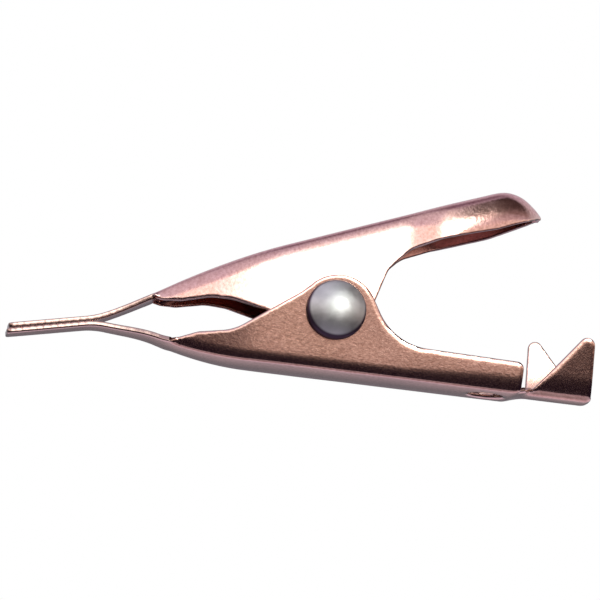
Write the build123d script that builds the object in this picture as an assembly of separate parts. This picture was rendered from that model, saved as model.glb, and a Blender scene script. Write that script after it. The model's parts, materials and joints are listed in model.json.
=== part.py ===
from build123d import *
import math
import os

# A small spring clip of copper-plated sheet steel: a lower lever that carries the wire crimp, an
# upper lever with a thumb grip that turns between the lower lever's ears, a rivet and a torsion
# spring. Millimetres. Everything is drawn about the pivot: +X runs to the wire crimp, +Z to the
# thumb grip and Y along the rivet. On export each piece is moved, so that the origin of the part
# is the centre of the terminal hole on the underside of the lower lever.

# ---- driving dimensions ------------------------------------------------------------------------
SHEET = 0.56
NOSE_TIP = -32.65
STRAP_END = -24.0
STRAP_TIP_HALF = 1.6
STRAP_END_HALF = 1.8
JAW_SLOPE = math.tan(math.radians(12.0))
JAW_LINE_AT_TIP = -5.44
JAW_GAP = 0.03
TIP_CORNER = 0.45

EAR_HALF = 4.95
LOWER_TAPER_END = -5.0
FLOOR = -6.2
WALL_END = 19.85
WALL_TOP = -2.9
WALL_FALL = 0.15
WALL_CORNER = 0.7
WALL_START = -16.9
LOWER_STRAP_END = -16.5
EAR_RADIUS = 3.45
BELOW_FLOOR = FLOOR - 1.0

UPPER_HALF = 4.25
UPPER_TAPER_END = -6.0
UPPER_WALL_START = -18.4
UPPER_STRAP_END = -17.8
GRIP_HALF = 4.6
ROOF_AT_PIVOT = 8.44
ROOF_SLOPE = math.tan(math.radians(21.1))
UPPER_EAR_RADIUS = 3.9
GRIP_DEPTH = 3.95
GRIP_FLARE_START = 5.0
GRIP_FLARE_END = 13.0
GRIP_TAPER_START = 14.0
GRIP_TIP = 20.85
DOME_START = 14.2
GRIP_OUTER_SETBACK = 0.15
GRIP_INNER_SETBACK = 1.1

BEND = 1.3
NOSE_BEND = 0.62
NOSE_BEND_END = -18.0
FULL_BEND_START = -10.0
GRIP_BEND = 2.6

SHANK_RADIUS = 1.6
RUNNING_CLEARANCE = 0.05
HEAD_RADIUS = 2.97
HEAD_RIM = 0.4
HEAD_DOME = 1.15
DOME_FULLNESS = 0.72
CLINCH_RADIUS = 2.35
CLINCH_HEIGHT = 0.65
CLINCH_BORE = 0.95
CLINCH_BORE_DEPTH = 2.2

HOLE_X = 16.85
HOLE_RADIUS = 1.9

CRIMP_FLOOR = -5.85
CRIMP_HALF = 2.75
CRIMP_START = 21.35
CRIMP_END = 27.5
CRIMP_BEND = 0.75
CRIMP_FLARE = 8.0
CRIMP_TOP = 1.08
CRIMP_EAR_SETBACK = 0.15
APEX_RADIUS = 0.7
TAIL_STEP_START = 19.0
TAIL_STEP_END = 20.7
TAIL_OVERLAP = 3.0
TAIL_NARROWING_LEAD = 0.45
TAIL_CORNER = 0.2

WIRE = 0.9
COIL_RADIUS = 2.45
COIL_PITCH = 1.0
COIL_FULL_TURNS = 4
FLOOR_LEG_ANGLE = 14.5
FLOOR_LEG = 11.0
ROOF_LEG_ANGLE = 41.0
ROOF_LEG = 12.6

TOOTH_PITCH = 0.7
TOOTH_WIDTH = 0.5
TOOTH_DEPTH = 0.18
TOOTH_COUNT = 12
FIRST_TOOTH = 0.6
TOOTH_OVERCUT = 0.05

TALL = 25.0
SECTIONS_IN_A_CURVE = 6
STRAP_POINTS = 24
TO_FRAME = Location((-HOLE_X, 0, -FLOOR))


# ---- shared curves -----------------------------------------------------------------------------
def smoothstep(x, start, end):
    s = min(1.0, max(0.0, (x - start) / (end - start)))
    return s * s * (3 - 2 * s)


def through_knots(knots, x):
    """Height at x of a smooth curve through knots of (x, height, slope)."""
    for (x0, z0, m0), (x1, z1, m1) in zip(knots, knots[1:]):
        if x <= x1:
            break
    span = x1 - x0
    t = (x - x0) / span
    ends = (1 - 3 * t**2 + 2 * t**3) * z0 + (3 * t**2 - 2 * t**3) * z1
    return ends + span * ((t - 2 * t**2 + t**3) * m0 + (t**3 - t**2) * m1)


def slope_factor(curve, x):
    """Vertical thickness of a sheet of unit thickness that follows the curve at x."""
    step = 0.05
    slope = (curve(x + step) - curve(x - step)) / (2 * step)
    return math.hypot(1, slope)


def jaw_line(x):
    """Line on which the two straight noses meet."""
    return JAW_LINE_AT_TIP + JAW_SLOPE * (x - NOSE_TIP)


def lever_half_width(x, full, taper_end):
    """Half-width of a lever: slim straight nose, then widening smoothly to the channel."""
    if x < STRAP_END:
        return STRAP_TIP_HALF + (STRAP_END_HALF - STRAP_TIP_HALF) * (x - NOSE_TIP) / (STRAP_END - NOSE_TIP)
    return STRAP_END_HALF + (full - STRAP_END_HALF) * smoothstep(x, STRAP_END, taper_end)


def lower_half(x):
    return lever_half_width(x, EAR_HALF, LOWER_TAPER_END)


def upper_half(x):
    """Half-width of the upper lever: nose, channel, a wider grip and a pointed round end."""
    if x > GRIP_TAPER_START:
        return GRIP_HALF * (1 - ((x - GRIP_TAPER_START) / (GRIP_TIP - GRIP_TAPER_START)) ** 2)
    if x > 0:
        return UPPER_HALF + (GRIP_HALF - UPPER_HALF) * smoothstep(x, GRIP_FLARE_START, GRIP_FLARE_END)
    return lever_half_width(x, UPPER_HALF, UPPER_TAPER_END)


# Underside of the lower lever and top of the upper lever, as knots of (x, height, slope).
JAW_SKIN = SHEET * math.hypot(1, JAW_SLOPE) + JAW_GAP / 2
LOWER_KNOTS = [
    (NOSE_TIP, jaw_line(NOSE_TIP) - JAW_SKIN, JAW_SLOPE),
    (-25.0, jaw_line(-25.0) - JAW_SKIN, JAW_SLOPE),
    (-22.6, -4.27, -0.09),
    (-17.5, -4.87, -0.27),
    (-8.0, FLOOR, 0.0),
    (WALL_END, FLOOR, 0.0),
]
UPPER_KNOTS = [
    (NOSE_TIP, jaw_line(NOSE_TIP) + JAW_SKIN, JAW_SLOPE),
    (-25.0, jaw_line(-25.0) + JAW_SKIN, JAW_SLOPE),
    (-22.5, -2.42, 0.5),
    (-16.4, 0.97, 0.6),
    (-5.0, ROOF_AT_PIVOT - 5.0 * ROOF_SLOPE, ROOF_SLOPE),
    (DOME_START, ROOF_AT_PIVOT + DOME_START * ROOF_SLOPE, ROOF_SLOPE),
    (17.0, 14.72, 0.0),
    (GRIP_TIP, 12.95, -1.15),
]


def lower_skin(x):
    return through_knots(LOWER_KNOTS, x)


def upper_skin(x):
    return through_knots(UPPER_KNOTS, x)


# ---- sheet-metal helpers -----------------------------------------------------------------------
def channel_section(x, half, crown, radius):
    """Face across a lever at x: a roof with rounded shoulders and walls that run far down."""
    shoulder = crown - radius
    flat = half - radius
    corner = radius * math.sqrt(0.5)
    foot = crown - TALL
    left_foot, left, left_top = (x, -half, foot), (x, -half, shoulder), (x, -flat, crown)
    right_foot, right, right_top = (x, half, foot), (x, half, shoulder), (x, flat, crown)
    outline = [
        Line(left_foot, left),
        ThreePointArc(left, (x, -flat - corner, shoulder + corner), left_top),
        Line(left_top, right_top),
        ThreePointArc(right_top, (x, flat + corner, shoulder + corner), right),
        Line(right, right_foot),
        Line(right_foot, left_foot),
    ]
    return Face(Wire([piece.edge() for piece in outline]))


def channel_body(spans, half_at, crown_at, bend_at, inset):
    """Solid under a roof, lofted span by span; inset sinks it below the skin by a sheet."""
    body = Part()
    for start, end, count in spans:
        stations = [end + (start - end) * i / count for i in range(count + 1)]
        sections = []
        for x in stations:
            drop = inset * slope_factor(crown_at, x)
            sections.append(channel_section(x, half_at(x) - inset, crown_at(x) - drop, bend_at(x) - inset))
        body += loft(sections)
    return body


def side_plate(outline):
    """Solid of a closed side outline, wide enough to trim any lever."""
    return extrude(Plane.XZ * make_face(outline), amount=TALL, both=True)


def strap(skin_at, half_at, side, end):
    """Flat nose of a lever: the side view's ribbon within the plan outline."""
    xs = [NOSE_TIP + (end - NOSE_TIP) * i / STRAP_POINTS for i in range(STRAP_POINTS + 1)]
    skin = [(x, skin_at(x)) for x in xs]
    back = [(x, skin_at(x) - side * SHEET * slope_factor(skin_at, x)) for x in xs]
    side_view = [Spline(*skin), Line(skin[-1], back[-1]), Spline(*reversed(back)), Line(back[0], skin[0])]
    ribbon = side_plate(side_view)
    near = [(x, -half_at(x)) for x in xs if x > NOSE_TIP + TIP_CORNER]
    far = [(x, -y) for x, y in reversed(near)]
    front_half = STRAP_TIP_HALF - TIP_CORNER
    front_near = (NOSE_TIP, -front_half)
    front_far = (NOSE_TIP, front_half)
    plan = make_face(
        [
            Spline(*near),
            Line(near[-1], far[0]),
            Spline(*far),
            Line(far[-1], front_far),
            Line(front_far, front_near),
            Line(front_near, near[0]),
        ]
    )
    return ribbon & extrude(plan, amount=TALL, both=True)


def teeth(side):
    """Row of V-grooves across a nose, on the face that meets the other nose."""
    grooves = []
    for i in range(TOOTH_COUNT):
        x = NOSE_TIP + FIRST_TOOTH + TOOTH_PITCH * i
        face_z = jaw_line(x) + side * JAW_GAP / 2
        open_z = face_z - side * TOOTH_OVERCUT
        fall = JAW_SLOPE * TOOTH_WIDTH / 2
        left = (x - TOOTH_WIDTH / 2, open_z - fall)
        right = (x + TOOTH_WIDTH / 2, open_z + fall)
        root = (x, face_z + side * TOOTH_DEPTH)
        groove = make_face(Polyline(left, right, root, close=True))
        grooves.append(extrude(Plane.XZ * groove, amount=STRAP_END_HALF + 1, both=True))
    return grooves


def on_circle(radius, degrees):
    """Point of a circle about the pivot, in side view."""
    angle = math.radians(degrees)
    return (radius * math.cos(angle), radius * math.sin(angle))


def cross_hole(radius):
    """Round hole along the rivet, through both ears."""
    return Plane.XZ * Cylinder(radius, TALL)


# ---- lower lever -------------------------------------------------------------------------------
def lower_wall_outline():
    """Side view of the channel walls: low at the nose, round ears at the pivot, low to the tail."""
    start = (WALL_START, -4.75)
    foot = (-10.6, -3.25)
    flank_start = (-8.2, -1.9)
    flank_end = (-3.2, 1.55)
    left_touch = on_circle(EAR_RADIUS, 135)
    right_touch = on_circle(EAR_RADIUS, 35)
    slope_end = (4.6, 0.0)
    steep = (0.5, -0.86)
    level_start = (8.9, WALL_TOP)
    level_end = (WALL_END - WALL_CORNER, WALL_TOP - WALL_FALL)
    corner_end = (WALL_END, WALL_TOP - WALL_FALL - WALL_CORNER)
    tail_foot = (WALL_END, BELOW_FLOOR)
    nose_foot = (WALL_START, BELOW_FLOOR)
    return [
        Spline(start, foot, flank_start, tangents=[(1, 0.35), (1, 0.68)]),
        Line(flank_start, flank_end),
        Spline(flank_end, left_touch, tangents=[(1, 0.72), (1, 1)]),
        ThreePointArc(left_touch, (0, EAR_RADIUS), right_touch),
        Spline(right_touch, slope_end, tangents=[(right_touch[1], -right_touch[0]), steep]),
        Spline(slope_end, level_start, tangents=[steep, (1, -0.02)]),
        Line(level_start, level_end),
        RadiusArc(level_end, corner_end, WALL_CORNER),
        Line(corner_end, tail_foot),
        Line(tail_foot, nose_foot),
        Line(nose_foot, start),
    ]


def lower_bend(x):
    """Outer bend radius: tight where the walls begin, full along the channel."""
    return NOSE_BEND + (BEND - NOSE_BEND) * smoothstep(x, NOSE_BEND_END, FULL_BEND_START)


def crimp_section():
    """Half of the crimp across the wire: floor, bend and a wall that leans outwards."""
    centre = (CRIMP_HALF - CRIMP_BEND, CRIMP_FLOOR + CRIMP_BEND)
    inner = CRIMP_BEND - SHEET
    turn = 90 - CRIMP_FLARE
    lean = math.radians(CRIMP_FLARE)
    wall = 7.0

    def on_arc(radius, degrees):
        y, z = on_circle(radius, degrees - 90)
        return (centre[0] + y, centre[1] + z)

    def up_the_wall(point):
        return (point[0] + wall * math.sin(lean), point[1] + wall * math.cos(lean))

    outer_start, outer_end = on_arc(CRIMP_BEND, 0), on_arc(CRIMP_BEND, turn)
    inner_start, inner_end = on_arc(inner, 0), on_arc(inner, turn)
    outer_tip, inner_tip = up_the_wall(outer_end), up_the_wall(inner_end)
    under_middle = (0, CRIMP_FLOOR)
    top_middle = (0, CRIMP_FLOOR + SHEET)
    return make_face(
        [
            Line(under_middle, outer_start),
            ThreePointArc(outer_start, on_arc(CRIMP_BEND, turn / 2), outer_end),
            Line(outer_end, outer_tip),
            Line(outer_tip, inner_tip),
            Line(inner_tip, inner_end),
            ThreePointArc(inner_end, on_arc(inner, turn / 2), inner_start),
            Line(inner_start, top_middle),
            Line(top_middle, under_middle),
        ]
    )


def crimp_ear():
    """Right-angled ear on the +Y side, upright at the front and falling towards the tail."""
    length = CRIMP_END - CRIMP_START
    walls = extrude(Plane.YZ.offset(CRIMP_START) * crimp_section(), amount=length)
    end = CRIMP_END - CRIMP_EAR_SETBACK
    triangle = make_face(
        Polyline(
            (CRIMP_START, BELOW_FLOOR),
            (CRIMP_START, CRIMP_TOP),
            (end, CRIMP_FLOOR + SHEET),
            (end, BELOW_FLOOR),
            close=True,
        )
    )
    apex = triangle.vertices().sort_by(Axis.Y)[-1]
    return walls & extrude(Plane.XZ * fillet(apex, APEX_RADIUS), amount=TALL, both=True)


def tail_floor():
    """Floor behind the walls: it narrows and steps up to the crimp."""
    start = WALL_END - TAIL_OVERLAP
    middle = ((TAIL_STEP_START + TAIL_STEP_END) / 2, (FLOOR + CRIMP_FLOOR) / 2)
    step = [(TAIL_STEP_START, FLOOR), middle, (TAIL_STEP_END, CRIMP_FLOOR)]
    under = [(start, FLOOR)] + step + [(CRIMP_END, CRIMP_FLOOR)]
    ribbon = []
    for rise in (0, SHEET):
        points = [(x, z + rise) for x, z in under]
        ribbon.append(Line(points[0], points[1]))
        ribbon.append(Spline(points[1], points[2], points[3], tangents=[(1, 0), (1, 0)]))
        ribbon.append(Line(points[3], points[4]))
    for x, z in (under[0], under[-1]):
        ribbon.append(Line((x, z), (x, z + SHEET)))
    channel_flat = EAR_HALF - BEND
    crimp_flat = CRIMP_HALF - CRIMP_BEND * 0.3
    narrowing = (WALL_END - TAIL_NARROWING_LEAD, CRIMP_START)
    outline = [Line((start, -channel_flat), (start, channel_flat))]
    for s in (-1, 1):
        wide_start = (start, s * channel_flat)
        wide_end = (narrowing[0], s * channel_flat)
        slim_start = (narrowing[1], s * crimp_flat)
        slim_end = (CRIMP_END - TAIL_CORNER, s * crimp_flat)
        outline.append(Line(wide_start, wide_end))
        outline.append(Spline(wide_end, slim_start, tangents=[(1, 0), (1, 0)]))
        outline.append(Line(slim_start, slim_end))
        outline.append(Line(slim_end, (CRIMP_END, s * (crimp_flat - TAIL_CORNER))))
    outline.append(Line((CRIMP_END, -(crimp_flat - TAIL_CORNER)), (CRIMP_END, crimp_flat - TAIL_CORNER)))
    return side_plate(ribbon) & extrude(make_face(outline), amount=TALL, both=True)


def make_lower_lever():
    spans = [(WALL_START - 0.1, LOWER_TAPER_END, SECTIONS_IN_A_CURVE), (LOWER_TAPER_END, WALL_END, 1)]

    def keel(x):
        return -lower_skin(x)

    outer = channel_body(spans, lower_half, keel, lower_bend, 0)
    inner = channel_body(spans, lower_half, keel, lower_bend, SHEET)
    channel = mirror(outer - inner, about=Plane.XY) & side_plate(lower_wall_outline())
    ear = crimp_ear()
    near_ear = mirror(ear, about=Plane.XZ)
    near_ear = mirror(near_ear, about=Plane.YZ.offset((CRIMP_START + CRIMP_END) / 2))
    lever = channel + strap(lower_skin, lower_half, -1, LOWER_STRAP_END) + tail_floor() + ear + near_ear
    for groove in teeth(-1):
        lever -= groove
    lever -= cross_hole(SHANK_RADIUS)
    lever -= Pos(HOLE_X, 0, FLOOR) * Cylinder(HOLE_RADIUS, 4)
    return lever


# ---- upper lever -------------------------------------------------------------------------------
def upper_wall_outline():
    """Side view of the upper lever's walls: shallow nose, round ears, raked back edge and grip."""
    start = (UPPER_WALL_START, -0.35)
    dip = (-16.4, -0.72)
    crest = (-11.3, 0.04)
    ear_left = on_circle(UPPER_EAR_RADIUS, 222)
    ear_right = (UPPER_EAR_RADIUS, 0.0)
    grip_x, end_x = 9.2, GRIP_TIP + 1
    grip_start = (grip_x, ROOF_AT_PIVOT + grip_x * ROOF_SLOPE - GRIP_DEPTH)
    grip_end = (end_x, ROOF_AT_PIVOT + end_x * ROOF_SLOPE - GRIP_DEPTH)
    above = 20.0
    return [
        Spline(start, dip, crest, ear_left, tangents=[(1, -0.5), (0.67, -0.74)]),
        ThreePointArc(ear_left, (0.0, -UPPER_EAR_RADIUS), ear_right),
        Spline(ear_right, (4.75, 4.3), (6.66, 6.95), grip_start, tangents=[(0, 1), (1, ROOF_SLOPE)]),
        Line(grip_start, grip_end),
        Line(grip_end, (end_x, above)),
        Line((end_x, above), (start[0], above)),
        Line((start[0], above), start),
    ]


def upper_bend(x):
    """Outer bend radius: tight at the nose, full at the ears, fuller on the thumb grip."""
    nose = NOSE_BEND + (BEND - NOSE_BEND) * smoothstep(x, -19.0, -11.0)
    grip = (GRIP_BEND - BEND) * smoothstep(x, GRIP_FLARE_START, GRIP_FLARE_END)
    return min(nose + grip, 0.92 * upper_half(x))


def make_upper_lever():
    spans = [
        (UPPER_WALL_START, UPPER_TAPER_END, SECTIONS_IN_A_CURVE),
        (UPPER_TAPER_END, GRIP_FLARE_START, 1),
        (GRIP_FLARE_START, GRIP_TAPER_START, SECTIONS_IN_A_CURVE),
    ]
    # The hollow stops a sheet short of the pointed end, which closes the grip.
    outer_end = (GRIP_TAPER_START, GRIP_TIP - GRIP_OUTER_SETBACK, SECTIONS_IN_A_CURVE)
    inner_end = (GRIP_TAPER_START, GRIP_TIP - GRIP_INNER_SETBACK, SECTIONS_IN_A_CURVE)
    outer = channel_body(spans + [outer_end], upper_half, upper_skin, upper_bend, 0)
    inner = channel_body(spans + [inner_end], upper_half, upper_skin, upper_bend, SHEET)
    channel = (outer - inner) & side_plate(upper_wall_outline())
    lever = channel + strap(upper_skin, upper_half, 1, UPPER_STRAP_END)
    for groove in teeth(1):
        lever -= groove
    return lever - cross_hole(SHANK_RADIUS + RUNNING_CLEARANCE)


# ---- rivet and spring --------------------------------------------------------------------------
def make_rivet():
    """Domed head on the -Y side, plain shank, and a hollow end rolled over on the +Y side."""
    head = -EAR_HALF
    crown = head - HEAD_RIM - HEAD_DOME
    clinch = EAR_HALF
    bottom = clinch + CLINCH_HEIGHT - CLINCH_BORE_DEPTH
    roll_top = ((CLINCH_BORE + CLINCH_RADIUS) / 2, clinch + CLINCH_HEIGHT)
    dome_point = (HEAD_RADIUS * DOME_FULLNESS, head - HEAD_RIM - HEAD_DOME * DOME_FULLNESS)
    profile = make_face(
        [
            Line((0, crown), (0, bottom)),
            Line((0, bottom), (CLINCH_BORE, bottom)),
            Line((CLINCH_BORE, bottom), (CLINCH_BORE, clinch)),
            ThreePointArc((CLINCH_BORE, clinch), roll_top, (CLINCH_RADIUS, clinch)),
            Line((CLINCH_RADIUS, clinch), (SHANK_RADIUS, clinch)),
            Line((SHANK_RADIUS, clinch), (SHANK_RADIUS, head)),
            Line((SHANK_RADIUS, head), (HEAD_RADIUS, head)),
            Line((HEAD_RADIUS, head), (HEAD_RADIUS, head - HEAD_RIM)),
            Spline((HEAD_RADIUS, head - HEAD_RIM), dome_point, (0, crown), tangents=[(-0.35, -1), (-1, 0)]),
        ]
    )
    return revolve(profile, Axis.Y)


def make_spring():
    """Coil round the rivet, with one leg under the roof and one on the floor, both to the tail."""
    roof_angle = 90 + ROOF_LEG_ANGLE
    floor_angle = 270 - FLOOR_LEG_ANGLE
    turns = COIL_FULL_TURNS + (floor_angle - roof_angle) / 360
    length = turns * COIL_PITCH
    start = on_circle(1, roof_angle)
    seat = Plane(origin=(0, length / 2, 0), x_dir=(start[0], 0, start[1]), z_dir=(0, -1, 0))
    coil = seat * Helix(COIL_PITCH, length, COIL_RADIUS)
    roof_leg = Line(coil @ 0 - (coil % 0) * ROOF_LEG, coil @ 0)
    floor_leg = Line(coil @ 1, coil @ 1 + (coil % 1) * FLOOR_LEG)
    path = Wire([roof_leg.edge(), coil.edge(), floor_leg.edge()])
    section = Plane(origin=path @ 0, z_dir=path % 0) * Circle(WIRE / 2)
    return sweep(section, path=path)


# ---- export ------------------------------------------------------------------------------------
PIECES = {
    "lower_lever": make_lower_lever,
    "upper_lever": make_upper_lever,
    "pivot_rivet": make_rivet,
    "torsion_spring": make_spring,
}

os.makedirs("parts", exist_ok=True)
for name, make in PIECES.items():
    piece = make().moved(TO_FRAME)
    export_step(piece, f"parts/{name}.step")
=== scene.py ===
import json
import math

import bpy
import numpy as np
from mathutils import Matrix, Vector, geometry, noise
from mathutils.kdtree import KDTree

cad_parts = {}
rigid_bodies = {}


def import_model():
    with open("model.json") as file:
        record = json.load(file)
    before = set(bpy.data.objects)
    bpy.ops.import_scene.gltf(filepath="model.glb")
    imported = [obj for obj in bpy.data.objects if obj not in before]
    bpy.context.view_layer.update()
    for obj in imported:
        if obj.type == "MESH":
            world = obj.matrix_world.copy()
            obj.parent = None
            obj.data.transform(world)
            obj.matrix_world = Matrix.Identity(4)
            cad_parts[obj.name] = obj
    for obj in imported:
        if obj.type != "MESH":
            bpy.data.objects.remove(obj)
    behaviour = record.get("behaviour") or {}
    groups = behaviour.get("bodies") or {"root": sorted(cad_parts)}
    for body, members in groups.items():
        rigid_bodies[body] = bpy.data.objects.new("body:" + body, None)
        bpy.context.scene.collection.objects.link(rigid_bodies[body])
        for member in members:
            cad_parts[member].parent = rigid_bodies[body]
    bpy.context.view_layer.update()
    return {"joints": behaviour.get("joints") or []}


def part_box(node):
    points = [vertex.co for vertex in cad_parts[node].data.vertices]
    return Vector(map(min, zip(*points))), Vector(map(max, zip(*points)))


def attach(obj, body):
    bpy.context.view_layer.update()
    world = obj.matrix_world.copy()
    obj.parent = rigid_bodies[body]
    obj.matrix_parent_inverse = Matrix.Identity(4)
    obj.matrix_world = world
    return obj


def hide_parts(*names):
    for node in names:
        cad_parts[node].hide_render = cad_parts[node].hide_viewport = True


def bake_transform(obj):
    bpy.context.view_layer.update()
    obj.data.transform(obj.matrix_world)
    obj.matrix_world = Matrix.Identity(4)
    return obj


# A small copper-plated spring clip. Shapes are drawn in millimetres about the pivot: +X runs to the
# wire crimp, +Z to the thumb grip and Y along the rivet. Each lever starts as its flat blank, in
# (x, v), where v is measured across the sheet from its middle line, and is then folded.
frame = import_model()

MM = 0.001
PIVOT = np.array(frame["joints"][0]["pos_m"])
SHEET = 0.56
NOSE_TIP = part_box("lower_lever")[0].x / MM - PIVOT[0] / MM
FLOOR = -PIVOT[2] / MM
HOLE_X = -PIVOT[0] / MM
HOLE_RADIUS = 1.9
SHANK_RADIUS = 1.6
RUNNING_CLEARANCE = 0.05

STRAP_END = -24.0
STRAP_TIP_HALF = 1.6
STRAP_END_HALF = 1.8
JAW_SLOPE = math.tan(math.radians(12.0))
JAW_LINE_AT_TIP = -5.44
JAW_GAP = 0.03
TOOTH_PITCH = 0.7
TOOTH_DEPTH = 0.045
TEETH_END = -24.4
JAW_LINE_END = -25.0

WALL_END = 19.87
CRIMP_FLOOR = -5.85
CRIMP_START = 21.38
CRIMP_END = 27.5
CRIMP_HALF = 2.75

ROOF_AT_PIVOT = 8.64
ROOF_SLOPE = math.tan(math.radians(21.1))
DOME_START = 14.2
GRIP_TIP = 20.85
GRIP_TAPER_START = 12.0
GRIP_TAPER = 0.28
GRIP_TAPER_BEND = 1.5
GRIP_ROUND_START = 15.0

LOWER_BODY, UPPER_BODY = frame["joints"][0]["parent"], frame["joints"][0]["child"]


# ---- curves shared by the two levers -----------------------------------------------------------
def ramp(x, start, end):
    """Smooth step from 0 at start to 1 at end."""
    s = np.clip((np.asarray(x, float) - start) / (end - start), 0, 1)
    return s * s * (3 - 2 * s)


def through_knots(knots, x):
    """Smooth curve through knots of (x, height, slope)."""
    x = np.asarray(x, float)
    height = np.zeros_like(x)
    for i, ((x0, z0, m0), (x1, z1, m1)) in enumerate(zip(knots, knots[1:])):
        here = (x >= x0) | (i == 0)
        span = x1 - x0
        t = (x - x0) / span
        inside = (1 - 3 * t**2 + 2 * t**3) * z0 + (3 * t**2 - 2 * t**3) * z1
        inside = inside + span * ((t - 2 * t**2 + t**3) * m0 + (t**3 - t**2) * m1)
        height = np.where(here, inside, height)
    return height


def jaw_line(x):
    """Line on which the two straight noses meet."""
    return JAW_LINE_AT_TIP + JAW_SLOPE * (x - NOSE_TIP)


def nose_half(x, full, taper_end):
    """Half-width of a lever from its slim nose to the full channel."""
    slim = STRAP_TIP_HALF + (STRAP_END_HALF - STRAP_TIP_HALF) * (x - NOSE_TIP) / (STRAP_END - NOSE_TIP)
    wide = STRAP_END_HALF + (full - STRAP_END_HALF) * ramp(x, STRAP_END, taper_end)
    return np.where(x < STRAP_END, slim, wide)


LINE_STEP = 0.12


def rounded_line(corners, step=LINE_STEP):
    """Points along a line through corners of (x, z, radius), each corner rounded by its radius."""
    points = [np.array(corners[0][:2], float)]
    for before, here, after in zip(corners, corners[1:], corners[2:]):
        p, q, r = (np.array(c[:2], float) for c in (before, here, after))
        radius = here[2]
        to_p, to_r = (p - q) / np.linalg.norm(p - q), (r - q) / np.linalg.norm(r - q)
        half_angle = math.acos(np.clip(to_p @ to_r, -1, 1)) / 2
        reach = radius / math.tan(half_angle)
        start, end = q + to_p * reach, q + to_r * reach
        centre = q + (to_p + to_r) / np.linalg.norm(to_p + to_r) * radius / math.sin(half_angle)
        turn = math.pi - 2 * half_angle
        count = max(3, int(radius * turn / step))
        a, b = start - centre, end - centre
        for i in range(count + 1):
            t = i / count
            arm = (math.sin((1 - t) * turn) * a + math.sin(t * turn) * b) / max(math.sin(turn), 1e-6)
            points.append(centre + arm)
    points.append(np.array(corners[-1][:2], float))
    dense = [points[0]]
    for a, b in zip(points, points[1:]):
        count = max(1, int(round(np.linalg.norm(b - a) / step)))
        for i in range(1, count + 1):
            dense.append(a + (b - a) * i / count)
    return np.array(dense)


# ---- folding a blank ---------------------------------------------------------------------------
class Fold:
    """Bends a flat blank to a channel that hangs from, or stands on, the skin line.

    At each x the sheet is nearly flat out to flat(x), turns through a tight bend, then through a wide
    one, and runs on straight. side is +1 for a roof with walls below and -1 for a floor."""

    bow = math.radians(4.5)
    tight_turn = math.radians(70)

    def __init__(self, side, skin, flat, tight, wide, turn):
        self.side = side
        self.skin = skin
        self.flat = flat
        self.tight = tight
        self.wide = wide
        self.turn = turn

    def section(self, x):
        """Blank distances and turns at which each stretch ends: flat, tight bend, wide bend."""
        flat, tight, wide, turn = self.flat(x), self.tight(x), self.wide(x), self.turn(x)
        tight_end = flat + tight * (self.tight_turn - self.bow)
        wide_end = tight_end + wide * (turn - self.tight_turn)
        return flat, tight, wide, turn, tight_end, wide_end

    def depth_to_v(self, x, z):
        """How far out on the blank the sheet reaches height z, beyond its flat."""
        flat, tight, wide, turn, tight_end, wide_end = self.section(x)
        depth = self.side * (self.skin(x) - z) - self.bow * flat / 2
        depth_one = tight * (math.cos(self.bow) - math.cos(self.tight_turn))
        depth_two = depth_one + wide * (math.cos(self.tight_turn) - np.cos(turn))
        cosine_one = np.clip(math.cos(self.bow) - depth / tight, -1, 1)
        cosine_two = np.clip(math.cos(self.tight_turn) - (depth - depth_one) / wide, -1, 1)
        in_one = flat + tight * (np.arccos(cosine_one) - self.bow)
        in_two = tight_end + wide * (np.arccos(cosine_two) - self.tight_turn)
        beyond = wide_end + (depth - depth_two) / np.sin(turn)
        return np.where(depth < depth_one, in_one, np.where(depth < depth_two, in_two, beyond))

    def __call__(self, x, v):
        """Outer face of the sheet at blank points (x, v), as rows of x, y, z."""
        flat, tight, wide, turn, tight_end, wide_end = self.section(x)
        out = np.abs(v)
        level = np.minimum(out, flat)
        angle_one = self.bow + np.clip(out - flat, 0, tight_end - flat) / tight
        angle_two = self.tight_turn + np.clip(out - tight_end, 0, wide_end - tight_end) / wide
        rest = np.maximum(out - wide_end, 0)
        y = level + tight * (np.sin(angle_one) - math.sin(self.bow))
        y = y + wide * (np.sin(angle_two) - math.sin(self.tight_turn)) + rest * np.cos(turn)
        depth = self.bow * level**2 / (2 * flat) + tight * (math.cos(self.bow) - np.cos(angle_one))
        depth = depth + wide * (math.cos(self.tight_turn) - np.cos(angle_two)) + rest * np.sin(turn)
        return np.stack([x, np.sign(v) * y, self.skin(x) - self.side * depth], axis=1)

    def corner(self, x):
        """How far the bends carry the sheet out beyond its flat."""
        flat_out = self.tight(x) * (math.sin(self.tight_turn) - math.sin(self.bow))
        return flat_out + self.wide(x) * (np.sin(self.turn(x)) - math.sin(self.tight_turn))


def frame_of(fold, x, v):
    """Outer face, its inward unit normal and the two unit tangents at blank points."""
    step = 0.01
    here = fold(x, v)
    along = fold(x + step, v) - fold(x - step, v)
    across = fold(x, v + step) - fold(x, v - step)
    along /= np.linalg.norm(along, axis=1, keepdims=True)
    across /= np.linalg.norm(across, axis=1, keepdims=True)
    inward = np.cross(along, across) * -fold.side
    inward /= np.linalg.norm(inward, axis=1, keepdims=True)
    return here, inward, along, across


def inside(points, polygon):
    """Which points lie inside a closed polygon."""
    x, y = points[:, 0], points[:, 1]
    result = np.zeros(len(points), bool)
    ax, ay = polygon[:, 0], polygon[:, 1]
    bx, by = np.roll(ax, -1), np.roll(ay, -1)
    for x0, y0, x1, y1 in zip(ax, ay, bx, by):
        crosses = (y0 > y) != (y1 > y)
        if y1 != y0:
            result ^= crosses & (x < (x1 - x0) * (y - y0) / (y1 - y0) + x0)
    return result


def loop_normals(loop):
    """Unit normals of a closed outline, to the right of its direction of travel."""
    tangent = np.roll(loop, -1, axis=0) - np.roll(loop, 1, axis=0)
    tangent /= np.linalg.norm(tangent, axis=1, keepdims=True)
    return np.stack([tangent[:, 1], -tangent[:, 0]], axis=1)


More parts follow.
